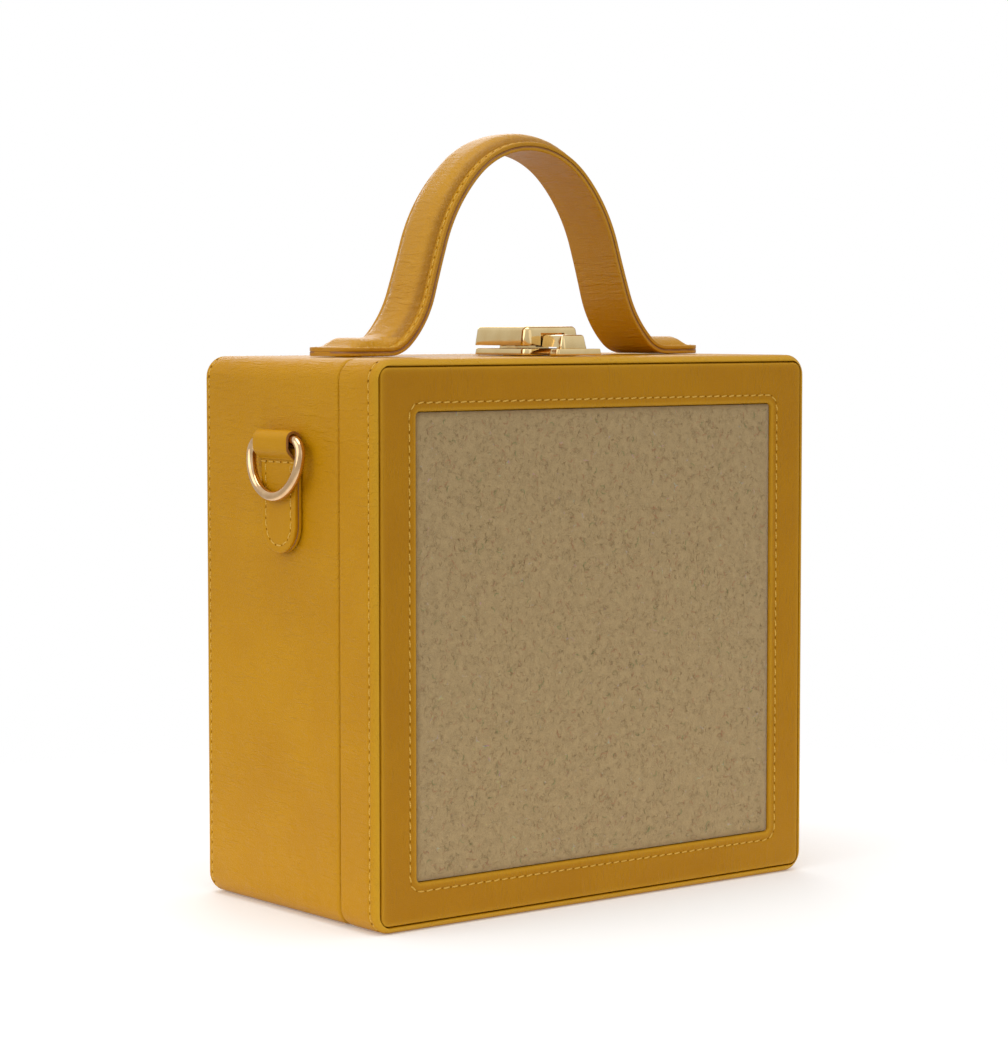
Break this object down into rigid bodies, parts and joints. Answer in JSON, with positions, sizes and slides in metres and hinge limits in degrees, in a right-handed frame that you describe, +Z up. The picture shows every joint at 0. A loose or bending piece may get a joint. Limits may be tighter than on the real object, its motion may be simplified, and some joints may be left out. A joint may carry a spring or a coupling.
{
  "type": "box bag",
  "caption": "Hard box handbag: leather over board, felt window in the hinged lid, padded top handle, gold press clasp and side D-rings.",
  "frame": {"origin": "on the ground under the middle of the bag's bounding box", "axes": "+X along the front to the bag's right as the picture sees it, +Y from the lid to the back, +Z up"},
  "size_m": [0.1986, 0.0966, 0.2546],
  "materials": {
    "leather": "grained mustard leather, semi-gloss",
    "felt": "mottled tan wool felt",
    "gold": "polished light gold plate",
    "ring_gold": "polished pale rose-gold plate"
  },
  "bodies": {
    "case": {"case_shell": "leather", "back_panel": "leather", "handle_strap": "leather", "handle_pad": "leather", "tab_left": "leather", "tab_right": "leather", "clasp_base": "gold", "clasp_pin": "gold", "hinge_leaf_case_1": "gold", "hinge_leaf_case_2": "gold", "hinge_pin_1": "gold", "hinge_pin_2": "gold"},
    "lid": {"lid_shell": "leather", "front_frame": "leather", "felt_panel": "felt", "keeper": "gold", "hinge_leaf_lid_1": "gold", "hinge_leaf_lid_2": "gold"},
    "lever": {"clasp_lever": "gold"},
    "ring_left": {"ring_left": "ring_gold"},
    "ring_right": {"ring_right": "ring_gold"}
  },
  "joints": [
    {"name": "lid", "type": "hinge", "parent": "case", "child": "lid", "pos_m": [0, -0.02885, 0.0024], "axis": [1, 0, 0], "range_deg": [0, 90]},
    {"name": "lever", "type": "hinge", "parent": "case", "child": "lever", "pos_m": [0, -0.0051, 0.1853], "axis": [-1, 0, 0], "range_deg": [0, 4], "stiffness_Nm_per_rad": 0.05, "springref_deg": -5.73},
    {"name": "ring_left", "type": "hinge", "parent": "case", "child": "ring_left", "pos_m": [-0.09585, 0, 0.15395], "axis": [0, 1, 0], "range_deg": [0, 165]},
    {"name": "ring_right", "type": "hinge", "parent": "case", "child": "ring_right", "pos_m": [0.09585, 0, 0.15395], "axis": [0, -1, 0], "range_deg": [0, 165]}
  ]
}
